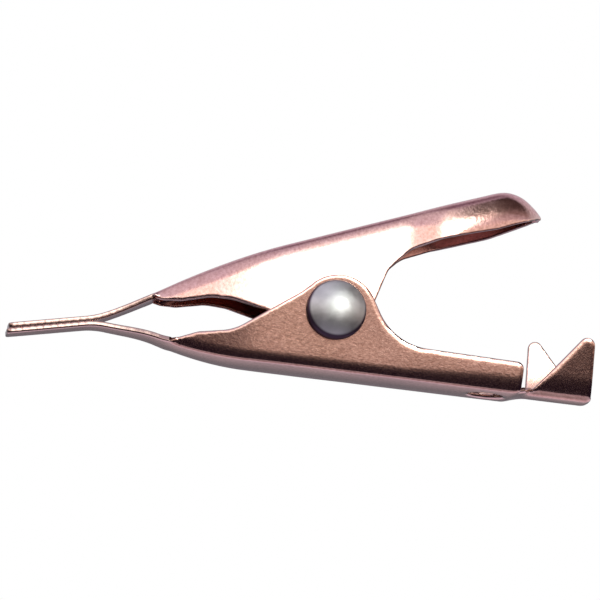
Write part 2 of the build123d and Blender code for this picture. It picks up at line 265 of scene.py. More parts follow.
def even_steps(loop, step):
    """A closed outline walked at an even step."""
    closed = np.vstack([loop, loop[:1]])
    length = np.concatenate([[0], np.cumsum(np.linalg.norm(np.diff(closed, axis=0), axis=1))])
    count = int(length[-1] / step)
    at = np.linspace(0, length[-1], count, endpoint=False)
    return np.stack([np.interp(at, length, closed[:, 0]), np.interp(at, length, closed[:, 1])], axis=1)


def signed_area(loop):
    """Area of a closed outline, positive when it runs anticlockwise."""
    x, y = loop[:, 0], loop[:, 1]
    return 0.5 * np.sum(x * np.roll(y, -1) - np.roll(x, -1) * y)


# Widths of a rolled-over edge, and how far it drops for each millimetre of its width.
SLIM_ROLLOVER = 0.16
WALL_ROLLOVER = 0.28
TAIL_ROLLOVER = 0.50
GRIP_ROLLOVER = 0.14
ROLLOVER_SLOPE = 0.25
INNER_ROLLOVER = 0.03
INNER_ROLLOVER_WIDTH = 0.12
RING_DISTANCES = (0.05, 0.11, 0.18, 0.27, 0.38, 0.5)
# Heights of the waves in the sheet's face and in its edge, and of the beads between the teeth.
WAVE = 0.012
BEAD = 0.03
OUTLINE_STEP = 0.13
HOLE_STEP = 0.16
# Rounding of a cut edge, as (share of the thickness from the outer face, bulge).
LOWER_RIM = ((0.10, 0.035), (0.35, 0.045), (0.70, 0.040), (0.95, 0.018))
UPPER_RIM = ((0.15, 0.020), (0.50, 0.030), (0.80, 0.030), (0.96, 0.018))


def wound(loops):
    """Closed outlines, the first made to run anticlockwise and the others, the holes, clockwise."""
    result = []
    for i, loop in enumerate(loops):
        anticlockwise = signed_area(loop) > 0
        result.append(loop if anticlockwise == (i == 0) else loop[::-1])
    return result


def on_sheet(points, loops):
    """Which blank points lie inside the outline and outside the holes."""
    result = inside(points, loops[0])
    for hole in loops[1:]:
        result &= ~inside(points, hole)
    return result


def from_edge(tree, points):
    """Distance of each blank point from the nearest edge point in a tree."""
    return np.array([tree.find((p[0], p[1], 0))[2] for p in points])


def mesh_blank(loops, grid):
    """Triangles over a blank, on its grid and on rings that are finer towards the edges.

    Returns the points, the triangles, each point's distance from the nearest edge, and the number in
    the mesh of each point of the loops."""
    edge_points = np.vstack(loops)
    tree = KDTree(len(edge_points))
    for i, p in enumerate(edge_points):
        tree.insert((p[0], p[1], 0), i)
    tree.balance()

    rings = []
    for loop in loops:
        for distance in RING_DISTANCES:
            ring = even_steps(loop, OUTLINE_STEP + 0.3 * distance)
            ring = ring - loop_normals(ring) * distance
            rings.append(ring[from_edge(tree, ring) > distance * 0.93])
    clear = from_edge(tree, grid) > RING_DISTANCES[-1] + 0.08
    inner = np.vstack(rings + [grid[clear]])
    blank_points = np.vstack([edge_points, inner[on_sheet(inner, loops)]])

    edges, start = [], 0
    for loop in loops:
        count = len(loop)
        edges += [(start + i, start + (i + 1) % count) for i in range(count)]
        start += count
    found = geometry.delaunay_2d_cdt([Vector(p) for p in blank_points], edges, [], 1, 1e-6, True)
    flat = np.array([tuple(p) for p in found[0]])
    faces = np.array(found[2])
    faces = faces[on_sheet(flat[faces].mean(axis=1), loops)]
    origin = [ids[0] if ids else -1 for ids in found[3]]
    position = {old: new for new, old in enumerate(origin)}
    edge_distance = from_edge(tree, flat)
    edge_distance[np.array([0 <= old < len(edge_points) for old in origin])] = 0
    return flat, faces, edge_distance, position


def sheet_metal(name, fold, outline, holes, grid, rim, rollover, finish):
    """A closed solid sheet: blank outline and holes in (x, v), folded, with rounded sheared edges."""
    loops = wound([even_steps(outline, OUTLINE_STEP)] + [even_steps(hole, HOLE_STEP) for hole in holes])
    outward = [loop_normals(loop) for loop in loops]
    ripple = np.array([edge_ripple(p) for p in loops[0]])
    loops[0] = loops[0] + outward[0] * ripple[:, None]
    flat, faces, distance, position = mesh_blank(loops, grid)

    x, v = flat[:, 0], flat[:, 1]
    outer, inward, along, across = frame_of(fold, x, v)
    width = rollover(x)
    roll = ROLLOVER_SLOPE * width * np.clip(1 - distance / width, 0, 1) ** 2.2
    roll *= np.array([edge_wear(p) for p in flat])
    wobble = np.array([WAVE * noise.noise(Vector((p[0] * 0.22, p[1] * 0.22, 3.7))) for p in flat])
    curl = INNER_ROLLOVER * np.clip(1 - distance / INNER_ROLLOVER_WIDTH, 0, 1) ** 2
    front = outer + inward * (roll + wobble)[:, None]
    back = outer + inward * (SHEET - curl + wobble - groove(x))[:, None]

    total = len(flat)
    vertices = [front, back]
    polygons = [tuple(f) for f in faces] + [tuple(total + i for i in reversed(f)) for f in faces]
    edge_value = [distance, distance]
    inner_value = [np.zeros(total), np.ones(total)]
    start, next_index = 0, 2 * total
    for loop, normals in zip(loops, outward):
        count = len(loop)
        ids = [position[start + i] for i in range(count)]
        out = along[ids] * normals[:, :1] + across[ids] * normals[:, 1:]
        rows = [ids]
        for share, bulge in rim:
            row = front[ids] + (back[ids] - front[ids]) * share + out * bulge
            vertices.append(row)
            edge_value.append(np.zeros(count))
            inner_value.append(np.full(count, share))
            rows.append(list(range(next_index, next_index + count)))
            next_index += count
        rows.append([total + i for i in ids])
        for upper, lower in zip(rows, rows[1:]):
            for i in range(count):
                j = (i + 1) % count
                polygons.append((upper[j], upper[i], lower[i], lower[j]))
        start += count
    points = np.vstack(vertices)
    obj = mesh_object(name, points, polygons, finish)
    # For the material: distance from the nearest edge, and 0 on the outer face to 1 on the inner one.
    for label, values in (("edge_mm", edge_value), ("inner_face", inner_value)):
        attribute = obj.data.attributes.new(label, "FLOAT", "POINT")
        attribute.data.foreach_set("value", np.concatenate(values).astype(np.float32))
    return obj


def mesh_object(name, points_mm, polygons, finish):
    """A smooth-shaded mesh object from millimetre points about the pivot."""
    mesh = bpy.data.meshes.new(name)
    mesh.from_pydata([tuple(p) for p in points_mm * MM + PIVOT], [], polygons)
    mesh.validate()
    mesh.update()
    mesh.shade_smooth()
    obj = bpy.data.objects.new(name, mesh)
    bpy.context.scene.collection.objects.link(obj)
    obj.data.materials.append(finish)
    bpy.context.view_layer.objects.active = obj
    bpy.ops.object.mode_set(mode="EDIT")
    bpy.ops.mesh.select_all(action="SELECT")
    bpy.ops.mesh.normals_make_consistent(inside=False)
    bpy.ops.object.mode_set(mode="OBJECT")
    return obj


def edge_ripple(p):
    """Small waves of a sheared edge, stronger on the toothed nose."""
    nose = float(1 - ramp(p[0], STRAP_END, STRAP_END + 4))
    random = noise.noise(Vector((p[0] * 1.6, p[1] * 1.6, 0.3)))
    beads = abs(math.sin(math.pi * (p[0] - NOSE_TIP) / TOOTH_PITCH)) ** 0.5
    return WAVE * random + nose * BEAD * beads


def wall_rollover(x):
    """Width of the rolled-over edge, from the slim nose to the walls."""
    return SLIM_ROLLOVER + (WALL_ROLLOVER - SLIM_ROLLOVER) * ramp(x, -20.0, -15.0)


def lower_rollover(x):
    """Width of the rolled-over edge: slight on the nose, broad towards the tail."""
    return wall_rollover(x) + (TAIL_ROLLOVER - WALL_ROLLOVER) * ramp(x, 0.0, 5.0)


def upper_rollover(x):
    """Width of the rolled-over edge: slight on the nose and on the grip."""
    return wall_rollover(x) + (GRIP_ROLLOVER - WALL_ROLLOVER) * ramp(x, 3.0, 8.0)


def edge_wear(p):
    """How deep the rolled-over edge is here."""
    return 0.85 + 0.35 * noise.noise(Vector((p[0] * 0.9, p[1] * 0.9, 9.1)))


def groove(x):
    """Depth of the V-shaped grooves across a nose."""
    phase = np.abs(((x - NOSE_TIP) / TOOTH_PITCH) % 1 - 0.5) * 2
    inside_row = (x > NOSE_TIP + 0.25) & (x < TEETH_END)
    return np.where(inside_row, TOOTH_DEPTH * np.clip(2.2 * phase - 1.2, 0, 1), 0)


# Where the meshes have points: stretches of (start, end, step) along the noses, distances out on
# them, the count over a wide bend and the step up a wall.
NOSE_STATIONS = ((NOSE_TIP, TEETH_END, TOOTH_PITCH / 6), (TEETH_END + 0.1, -4, 0.36))
NOSE_LINES = np.arange(0, 4, 0.4)
WIDE_LINES = 7
WALL_STEP = 0.45


def grid_points(places, lines_at):
    """Blank points on both sides of the middle line: lines_at(x) at each place x."""
    rows = []
    for x in places:
        for v in lines_at(x):
            rows.append((x, v))
            if v > 0:
                rows.append((x, -v))
    return np.array(rows)


# ---- lower lever -------------------------------------------------------------------------------
JAW_SKIN = SHEET * math.hypot(1, JAW_SLOPE) + JAW_GAP / 2
LOWER_KNOTS = [
    (NOSE_TIP, jaw_line(NOSE_TIP) - JAW_SKIN, JAW_SLOPE),
    (JAW_LINE_END, jaw_line(JAW_LINE_END) - JAW_SKIN, JAW_SLOPE),
    (-22.6, -4.27, -0.09),
    (-17.5, -4.87, -0.27),
    (-8.0, FLOOR, 0.0),
    (19.05, FLOOR, 0.0),
    (20.75, CRIMP_FLOOR, 0.0),
    (CRIMP_END + 1, CRIMP_FLOOR, 0.0),
]
LOWER_FLOOR_HALF = 4.42
LOWER_NOSE_MARGIN = 1.2
CHANNEL_TIGHT, CRIMP_TIGHT = 0.3, 0.9
FRONT_WIDE, BACK_WIDE, CRIMP_WIDE = 4.5, 7.5, 10.0
CHANNEL_TURN, CRIMP_TURN = 83.5, 81.0
LOWER_TAPER_END = -5.0
# Stretches of x in which the bends start on the nose and in which the channel turns into the crimp.
LOWER_BEND_STARTS = (-17.4, -15.4)
CRIMP_CHANGE = (20.2, 21.2)
# Where the outline leaves the nose's edge and where it has reached the wall's.
LOWER_NOSE_END = -17.3
LOWER_WALL_START = -15.9


def lower_skin(x):
    """Height of the outer face along the middle line."""
    return through_knots(LOWER_KNOTS, x)


def lower_tight(x):
    """Radius of the tight bend."""
    return CHANNEL_TIGHT + (CRIMP_TIGHT - CHANNEL_TIGHT) * ramp(x, *CRIMP_CHANGE)


def lower_wide(x):
    """Radius of the wide bend."""
    channel = FRONT_WIDE + (BACK_WIDE - FRONT_WIDE) * ramp(x, 6.0, 18.0)
    return channel + (CRIMP_WIDE - channel) * ramp(x, *CRIMP_CHANGE)


def lower_turn(x):
    """How far the wall is turned up from the floor."""
    return np.radians(CHANNEL_TURN + (CRIMP_TURN - CHANNEL_TURN) * ramp(x, *CRIMP_CHANGE))


def lower_flat(x):
    """Half of the floor's width, up to the bends. The nose is flat beyond its own edge."""
    half = nose_half(x, LOWER_FLOOR_HALF, LOWER_TAPER_END)
    bent = ramp(x, *LOWER_BEND_STARTS)
    channel = half - lower_fold.corner(x) * bent + LOWER_NOSE_MARGIN * (1 - bent)
    crimp = CRIMP_HALF - lower_fold.corner(x)
    return channel + (crimp - channel) * ramp(x, *CRIMP_CHANGE)


lower_fold = Fold(-1, lower_skin, lower_flat, lower_tight, lower_wide, lower_turn)

# Top edges of the walls and the ears, in side view, as corners of (x, z, radius).
LOWER_WALL = [
    (-16.4, -4.85),
    (-13.6, -3.72, 3.0),
    (-10.04, -3.16, 5.0),
    (-3.65, 1.38, 5.0),
    (1.125, 5.9, 4.05),
    (6.30, -2.72, 6.3),
    (WALL_END, -2.95, 0.7),
    (WALL_END, -5.2),
]
NEAR_EAR = [(CRIMP_START - 0.1, -5.5), (27.1, 1.88, 0.77), (27.45, -5.5)]
FAR_EAR = [(CRIMP_START, -5.5), (CRIMP_START, 1.6, 0.7), (27.42, -5.5)]
# Edge of the floor between the channel and the crimp, on the blank.
NECK = [
    (WALL_END, 4.2),
    (WALL_END, 3.35, 0.35),
    (20.5, 3.2, 0.6),
    (21.2, 2.42, 0.3),
    (22, 2.42),
]
TAIL_HALF = 2.2


def wall_v(fold, points):
    """Side-view points (x, z) of a wall, as blank points (x, v)."""
    return np.stack([points[:, 0], fold.depth_to_v(points[:, 0], points[:, 1])], axis=1)


def smooth_join(before, after, count=12):
    """Points that carry one edge on into the next, tangent to both."""
    start, end = before[-1], after[0]
    reach = np.linalg.norm(end - start)
    leaving = before[-1] - before[-2]
    arriving = after[1] - after[0]
    leaving = leaving / np.linalg.norm(leaving) * reach
    arriving = arriving / np.linalg.norm(arriving) * reach
    t = np.linspace(0, 1, count)[1:-1, None]
    ends = start + (end - start) * (3 * t**2 - 2 * t**3)
    return ends + (t - 2 * t**2 + t**3) * leaving + (t**3 - t**2) * arriving


def nose_edge(half_at, end):
    """One edge of a nose, from the rounded tip to x = end, with v positive."""
    corner = 0.35
    tip = NOSE_TIP + 0.05
    tip_half = float(half_at(np.array(tip)))
    arc = [
        (tip + corner * (1 - math.sin(angle)), tip_half - corner * (1 - math.cos(angle)))
        for angle in np.radians(np.linspace(90, 0, 6))
    ]
    xs = np.arange(tip + corner, end, LINE_STEP)
    return np.vstack([arc, np.stack([xs, half_at(xs)], axis=1)])


def lower_outline():
    """Closed outline of the lower blank."""

    def half(x):
        return nose_half(x, LOWER_FLOOR_HALF, LOWER_TAPER_END)

    nose = nose_edge(half, LOWER_NOSE_END)
    wall = wall_v(lower_fold, rounded_line(LOWER_WALL))
    wall = wall[wall[:, 0] > LOWER_WALL_START]
    join = smooth_join(nose, wall)
    neck = rounded_line(NECK)
    neck = neck[neck[:, 0] < CRIMP_START - 0.05]
    near, far = (
        np.vstack([nose, join, wall, neck, wall_v(lower_fold, rounded_line(ear)), [(CRIMP_END, TAIL_HALF)]])
        for ear in (NEAR_EAR, FAR_EAR)
    )
    near[:, 1] *= -1
    return np.vstack([near, far[::-1]])


def circle(x, v, radius, count=72):
    """Points of a circle about (x, v)."""
    angle = np.linspace(0, 2 * math.pi, count, endpoint=False)
    return np.stack([x + radius * np.cos(angle), v + radius * np.sin(angle)], axis=1)


def pivot_holes(fold, radius):
    """The two holes of a blank that lie on the rivet once it is folded."""
    hole = wall_v(fold, circle(0, 0, radius))
    return [hole, hole * (1, -1)]


def wall_lines(flat, fold, x, tight_count, reach):
    """Distances out on the blank: across the two bends, then evenly up the wall to reach."""
    tight_end, wide_end = (float(end) for end in fold.section(x)[4:])
    tight = list(np.linspace(flat, tight_end, tight_count)[1:])
    wide = list(np.linspace(tight_end, wide_end, WIDE_LINES)[1:])
    return tight + wide + list(np.arange(wide_end + WALL_STEP, reach, WALL_STEP))


def lower_lines(x):
    """Distances out on the blank at which the lower lever's mesh has points."""
    x = np.array(float(x))
    if x < LOWER_NOSE_END:
        return NOSE_LINES
    flat = float(lower_flat(x))
    return list(np.arange(0, flat + 0.01, flat / 8)) + wall_lines(flat, lower_fold, x, 9, 14)


def stations(*stretches):
    """Places along x, from stretches of (start, end, step)."""
    return np.concatenate([np.arange(*stretch) for stretch in stretches])


def make_lower_lever(finish):
    """The lower lever's sheet, with its terminal hole and its crimp ears."""
    places = stations(*NOSE_STATIONS, (-4, 18.5, 0.5), (18.5, 28, 0.25))
    holes = pivot_holes(lower_fold, SHANK_RADIUS + 0.02) + [circle(HOLE_X, 0, HOLE_RADIUS)]
    grid = grid_points(places, lower_lines)
    obj = sheet_metal(
        "lower_lever_sheet", lower_fold, lower_outline(), holes, grid, LOWER_RIM, lower_rollover, finish
    )
    # The near crimp ear leans out a little more than the far one.
    extra_lean, hinge = 0.02, CRIMP_FLOOR + 0.8
    for vertex in obj.data.vertices:
        x, y, z = (np.array(vertex.co) - PIVOT) / MM
        if x > WALL_END + 0.5 and y < 0 and z > hinge:
            vertex.co.y -= extra_lean * (z - hinge) ** 2 / (z - hinge + 0.5) * MM
    return obj


# ---- upper lever -------------------------------------------------------------------------------
UPPER_KNOTS = [
    (NOSE_TIP, jaw_line(NOSE_TIP) + JAW_SKIN, JAW_SLOPE),
    (JAW_LINE_END, jaw_line(JAW_LINE_END) + JAW_SKIN, JAW_SLOPE),
    (-22.5, -2.34, 0.5),
    (-16.4, 1.14, 0.6),
    (-5.0, ROOF_AT_PIVOT - 5.0 * ROOF_SLOPE, ROOF_SLOPE),
    (DOME_START, ROOF_AT_PIVOT + DOME_START * ROOF_SLOPE, ROOF_SLOPE),
    (17.0, 14.95, 0.0),
    (GRIP_TIP, 13.0, -1.15),
]
UPPER_EAR_HALF = 4.0
UPPER_NOSE_MARGIN = 1.0
GRIP_HALF = 4.9
UPPER_TAPER_END = -6.0
# Stretch of x in which the bends start on the nose, and where the mesh has lines along them.
UPPER_BEND_STARTS = (-20.0, -17.6)
UPPER_LINES_START = -19.9
UPPER_NOSE_END = -18.4
UPPER_WALL_START = -17.9
GRIP_FLARE = (6.2, 11.0)
GRIP_OVERHANG = 0.12


def upper_skin(x):
    """Height of the outer face along the middle line."""
    return through_knots(UPPER_KNOTS, x)


def upper_half(x):
    """Half-width of the roof: nose, channel, a wider grip that tapers, and a round end."""
    channel = nose_half(x, UPPER_EAR_HALF, UPPER_TAPER_END)
    grip = UPPER_EAR_HALF + (GRIP_HALF - UPPER_EAR_HALF) * ramp(x, *GRIP_FLARE)
    beyond = x - GRIP_TAPER_START
    grip = grip - GRIP_TAPER * (beyond + np.hypot(beyond, GRIP_TAPER_BEND)) / 2
    end = np.clip((x - GRIP_ROUND_START) / (GRIP_TIP + GRIP_OVERHANG - GRIP_ROUND_START), 0, 1)
    return np.where(x > 0, grip * np.sqrt(1 - end**3), channel)


def upper_tight(x):
    """Radius of the tight bend."""
    nose = 0.65 + 0.55 * ramp(x, -19.0, -11.0)
    grip = 0.6 * ramp(x, 6.0, 13.0)
    return np.minimum(nose + grip, 0.9 * upper_half(x))


def upper_wide(x):
    """Radius of the wide bend."""
    return np.minimum(3.2 + 4.0 * ramp(x, 8.0, 13.0), 2.0 * upper_half(x))


def upper_turn(x):
    """How far the wall is turned down from the roof."""
    return np.full_like(x, math.radians(89.5))


def upper_flat(x):
    """Half of the roof's width, up to the bends. The nose is flat beyond its own edge."""
    bent = ramp(x, *UPPER_BEND_STARTS)
    return upper_half(x) - upper_fold.corner(x) * bent + UPPER_NOSE_MARGIN * (1 - bent)


upper_fold = Fold(1, upper_skin, upper_flat, upper_tight, upper_wide, upper_turn)

# Lower edge of the walls, in side view, as corners of (x, z, radius).
UPPER_WALL = [
    (-19.2, 0.25),
    (-17.5, -0.68, 1.6),
    (-15.7, -0.64, 3.0),
    (-12.6, 0.10, 4.0),
    (-10.4, 0.04, 6.0),
    (-3.3, -1.50, 0.8),
    (-3.1, -3.85, 2.0),
    (3.35, -3.85, 2.8),
    (3.78, 0.9, 4.0),
    (5.05, 5.05, 3.2),
    (7.1, 7.4, 3.5),
    (10.1, 8.75, 2.5),
    (16.0, 10.65, 8.0),
    (GRIP_TIP, 12.8),
]


def upper_outline():
    """Closed outline of the upper blank."""
    nose = nose_edge(upper_half, UPPER_NOSE_END)
    wall = wall_v(upper_fold, rounded_line(UPPER_WALL))
    wall = wall[(wall[:, 0] > UPPER_WALL_START) & (wall[:, 0] < GRIP_TIP - 0.25)]
    tip = [(GRIP_TIP - 0.1, wall[-1, 1] * 0.7), (GRIP_TIP, wall[-1, 1] * 0.35)]
    far = np.vstack([nose, wall, tip])
    near = far * (1, -1)
    return np.vstack([near, far[::-1]])


def upper_lines(x):
    """Distances out on the blank at which the upper lever's mesh has points."""
    x = np.array(float(x))
    if x < UPPER_LINES_START:
        return NOSE_LINES
    flat = float(upper_flat(x))
    middle = list(np.linspace(0, flat, 9)) if flat > 0.4 else [0.0]
    return middle + wall_lines(flat, upper_fold, x, 10, 18)


def make_upper_lever(finish):
    """The upper lever's sheet, with its grip."""
    places = stations(*NOSE_STATIONS, (-4, 8, 0.5), (8, 19, 0.3), (19, GRIP_TIP - 0.1, 0.12))
    holes = pivot_holes(upper_fold, SHANK_RADIUS + RUNNING_CLEARANCE)
    grid = grid_points(places, upper_lines)
    return sheet_metal(
        "upper_lever_sheet", upper_fold, upper_outline(), holes, grid, UPPER_RIM, upper_rollover, finish
    )


# ---- rivet and spring --------------------------------------------------------------------------
def turned(name, profile, finish, segments=96):
    """A solid turned about the rivet's axis from a profile of (radius, y), both ends on the axis."""
    points, polygons = [], []
    rings = []
    for radius, y in profile:
        if radius < 1e-6:
            rings.append([len(points)])
            points.append((0, y, 0))
            continue
        ring = []
        for i in range(segments):
            angle = 2 * math.pi * i / segments
            ring.append(len(points))
            points.append((radius * math.cos(angle), y, radius * math.sin(angle)))
        rings.append(ring)
    for a, b in zip(rings, rings[1:]):
        for i in range(segments):
            j = (i + 1) % segments
            if len(a) == 1:
                polygons.append((a[0], b[i], b[j]))
            elif len(b) == 1:
                polygons.append((a[i], b[0], a[j]))
            else:
                polygons.append((a[i], b[i], b[j], a[j]))
    return mesh_object(name, np.array(points, float), polygons, finish)


def arc_profile(centre, radius, start, end, count):
    """Points of an arc from start to end, in degrees."""
    angles = np.radians(np.linspace(start, end, count))
    return [(centre[0] + radius * math.cos(a), centre[1] + radius * math.sin(a)) for a in angles]


def make_rivet(finish):
    """Low domed head, shank, and a far end that is hollow and rolled over."""
    at_pivot = np.array([0.0])
    ear = float(lower_fold(at_pivot, lower_fold.depth_to_v(at_pivot, at_pivot))[0, 1])
    head, clinch = -ear - 0.005, ear + 0.005
    radius, rim, dome, edge = 3.05, 0.62, 1.0, 0.11
    cap = (radius**2 + dome**2) / (2 * dome)
    reach = math.asin((radius - edge) / cap)
    crown = head - rim - dome
    profile = [(0, crown)]
    profile += [(cap * math.sin(t), crown + cap * (1 - math.cos(t))) for t in np.linspace(0, reach, 20)[1:]]
    profile += [
        (radius - 0.03, head - rim + 0.12),
        (radius, head - rim + 0.24),
        (radius, head - 0.14),
        (radius - 0.04, head - 0.04),
        (radius - 0.14, head),
        (2.3, head),
        (SHANK_RADIUS, head),
        (SHANK_RADIUS, head + 0.6),
        (SHANK_RADIUS, clinch - 0.6),
        (SHANK_RADIUS, clinch),
        (2.1, clinch),
    ]
    profile += arc_profile((1.72, clinch + 0.32), 0.56, -35, 160, 18)
    profile += [
        (1.08, clinch + 0.25),
        (0.97, clinch - 0.1),
        (0.95, clinch - 1.2),
        (0.55, clinch - 1.55),
        (0, clinch - 1.6),
    ]
    obj = turned("rivet", profile, finish)
    for vertex in obj.data.vertices:
        bump = noise.noise(vertex.co * 900) * 0.012 * MM
        vertex.co += vertex.normal * bump
    return obj


def tube(name, path, radius, finish, sides=20):
    """Round wire along a path, with rounded ends."""
    path = np.array(path, float)
    tangent = np.gradient(path, axis=0)
    tangent /= np.linalg.norm(tangent, axis=1, keepdims=True)
    points, polygons, rings = [], [], []
    normal = np.cross(tangent[0], (0, 1, 0))
    normal /= np.linalg.norm(normal)
    for i, t in enumerate(tangent):
        normal = normal - t * (normal @ t)
        normal /= np.linalg.norm(normal)
        side = np.cross(t, normal)
        ring = []
        for k in range(sides):
            angle = 2 * math.pi * k / sides
            ring.append(len(points))
            points.append(path[i] + radius * (normal * math.cos(angle) + side * math.sin(angle)))
        rings.append(ring)
    for a, b in zip(rings, rings[1:]):
        for k in range(sides):
            j = (k + 1) % sides
            polygons.append((a[k], b[k], b[j], a[j]))
    for ring, t, sign in ((rings[0], tangent[0], -1), (rings[-1], tangent[-1], 1)):
        centre = np.mean([points[i] for i in ring], axis=0)
        previous = ring
        for shrink, reach in ((0.86, 0.12), (0.55, 0.2)):
            cap = []
            for i in ring:
                cap.append(len(points))
                points.append(centre + (points[i] - centre) * shrink + t * sign * reach * radius)
            for k in range(sides):
                j = (k + 1) % sides
                polygons.append((previous[k], cap[k], cap[j], previous[j]))
            previous = cap
        polygons.append(tuple(previous))
    return mesh_object(name, np.array(points), polygons, finish)


WIRE = 0.9
COIL_RADIUS = 2.45
COIL_PITCH = 1.0
FLOOR_LEG_ANGLE, FLOOR_LEG = 14.5, 11.0
ROOF_LEG_ANGLE, ROOF_LEG = 41.0, 12.4


def make_spring(finish):
    """The torsion spring and half the length of its coil: one leg under the roof, one on the floor."""
    start = math.radians(90 + ROOF_LEG_ANGLE)
    end = math.radians(270 - FLOOR_LEG_ANGLE) + 4 * 2 * math.pi
    rise = COIL_PITCH / (2 * math.pi)
    half_length = (end - start) * rise / 2
    turn = np.linspace(start, end, 420)
    coil = np.stack(
        [COIL_RADIUS * np.cos(turn), half_length - (turn - start) * rise, COIL_RADIUS * np.sin(turn)], axis=1
    )

    def tangent(angle):
        t = np.array([-COIL_RADIUS * math.sin(angle), -rise, COIL_RADIUS * math.cos(angle)])
        return t / np.linalg.norm(t)

    roof = [coil[0] - tangent(start) * s for s in np.linspace(ROOF_LEG, 0.3, 30)]
    floor = [coil[-1] + tangent(end) * s for s in np.linspace(0.3, FLOOR_LEG, 30)]
    obj = tube("spring_wire", np.vstack([roof, coil, floor]), WIRE / 2, finish)
    return obj, half_length


# ---- materials ---------------------------------------------------------------------------------
BUMP_DEPTH = 0.04 * MM
# Width of the ring of painted shade under the rivet's head, in mm.
RIM_SHADE_WIDTH = 0.28


def new_material(name):
    """A material with a principled shader, its node tree and that shader."""
    material = bpy.data.materials.new(name)
    material.use_nodes = True
    tree = material.node_tree
    tree.nodes.clear()
    output = tree.nodes.new("ShaderNodeOutputMaterial")
    shader = tree.nodes.new("ShaderNodeBsdfPrincipled")
    tree.links.new(shader.outputs["BSDF"], output.inputs["Surface"])
    return material, tree, shader


def node(tree, kind, inputs=None, **settings):
    """A new node. Each input is linked to a socket or given a value."""
    made = tree.nodes.new(kind)
    for key, value in settings.items():
        setattr(made, key, value)
    for key, value in (inputs or {}).items():
        if isinstance(value, bpy.types.NodeSocket):
            tree.links.new(value, made.inputs[key])
        else:
            made.inputs[key].default_value = value
    return made


def math_node(tree, operation, *values):
    """Result of one sum on sockets or numbers."""
    return node(tree, "ShaderNodeMath", dict(enumerate(values)), operation=operation).outputs[0]


def mix_colour(tree, factor, a, b, blend="MIX"):
    """Colour a blended towards colour b by a factor."""
    inputs = {0: factor, 6: a, 7: b}
    return node(tree, "ShaderNodeMix", inputs, data_type="RGBA", blend_type=blend).outputs[2]


def between(tree, value, start, end, height=1.0):
    """Smooth step of a value, from 0 at start to height at end."""
    inputs = {"Value": value, "From Min": start, "From Max": end, "To Max": height}
    return node(tree, "ShaderNodeMapRange", inputs, interpolation_type="SMOOTHSTEP").outputs[0]


def colour(r, g, b):
    return (r, g, b, 1.0)


def place_on(tree):
    """Object coordinates, in metres."""
    return node(tree, "ShaderNodeTexCoord").outputs["Object"]


def mapped(tree, scale):
    """Object coordinates in millimetres, times scale."""
    inputs = {"Vector": place_on(tree), "Scale": tuple(s / MM for s in scale)}
    return node(tree, "ShaderNodeMapping", inputs).outputs[0]


def noise_on(tree, scale, detail=3.0, shift=None):
    """Value of a noise, with scale as its waves to the millimetre along x, y and z."""
    inputs = {"Vector": mapped(tree, scale), "Scale": 1.0, "Detail": detail}
    if shift is None:
        return node(tree, "ShaderNodeTexNoise", inputs).outputs["Fac"]
    inputs["W"] = shift
    return node(tree, "ShaderNodeTexNoise", inputs, noise_dimensions="4D").outputs["Fac"]


def stretched(tree, value, low, high):
    """A value stretched so that low becomes 0 and high becomes 1."""
    inputs = {"Value": value, "From Min": low, "From Max": high}
    return node(tree, "ShaderNodeMapRange", inputs).outputs[0]


def attribute_on(tree, name):
    """Value of a mesh attribute."""
    return node(tree, "ShaderNodeAttribute", attribute_name=name).outputs["Fac"]


def finish_metal(tree, shader, tint, rough, height, strength):
    """Connects a metal's colour, roughness and bump."""
    tree.links.new(tint, shader.inputs["Base Color"])
    shader.inputs["Metallic"].default_value = 1.0
    tree.links.new(rough, shader.inputs["Roughness"])
    inputs = {"Height": height, "Strength": strength, "Distance": BUMP_DEPTH}
    tree.links.new(node(tree, "ShaderNodeBump", inputs).outputs[0], shader.inputs["Normal"])


def copper(name, base, tarnish, shift, inner_shade=0.0):
    """Copper plate on pressed steel: rolled grain, mottled tarnish, bright worn edges."""
    material, tree, shader = new_material(name)
    fine = noise_on(tree, (3.2, 3.2, 3.2))
    speck = noise_on(tree, (6.5, 6.5, 6.5), 2.0)
    broad = noise_on(tree, (0.16, 0.2, 0.2), 2.0, shift)
    rolled = noise_on(tree, (0.5, 9.0, 9.0))
    edge = attribute_on(tree, "edge_mm")
    worn = between(tree, edge, 0.5, 0.0)
    # Mottled tarnish and dark grain, brighter where an edge is worn.
    tint = mix_colour(tree, stretched(tree, broad, 0.35, 0.65), base, tarnish)
    dark = mix_colour(tree, 1.0, tint, colour(0.74, 0.68, 0.66), "MULTIPLY")
    tint = mix_colour(tree, stretched(tree, fine, 0.3, 0.7), dark, tint)
    tint = mix_colour(tree, math_node(tree, "MULTIPLY", worn, 0.35), tint, colour(1.0, 0.80, 0.70))
    # Painted shade on the inner face, the cut edge of the steel, and painted shade in corners that the light
    # doesn't reach.
    inner = math_node(tree, "MULTIPLY", attribute_on(tree, "inner_face"), inner_shade)
    tint = mix_colour(tree, inner, tint, colour(0.45, 0.18, 0.16))
    cut = between(tree, edge, 0.045, 0.0)
    tint = mix_colour(tree, cut, tint, colour(0.46, 0.33, 0.28))
    open_air = node(tree, "ShaderNodeAmbientOcclusion", {"Distance": 5 * MM}, samples=6, only_local=True)
    hidden = between(tree, open_air.outputs["AO"], 0.85, 0.25)
    tint = mix_colour(tree, hidden, tint, colour(0.28, 0.13, 0.11))
    rough = math_node(tree, "MULTIPLY_ADD", speck, 0.14, 0.12)
    rough = math_node(tree, "MULTIPLY_ADD", worn, -0.05, rough)
    height = math_node(tree, "MULTIPLY_ADD", fine, 0.5, math_node(tree, "MULTIPLY", rolled, 0.1))
    height = math_node(tree, "MULTIPLY_ADD", speck, 0.3, height)
    finish_metal(tree, shader, tint, rough, height, 0.35)
    return material


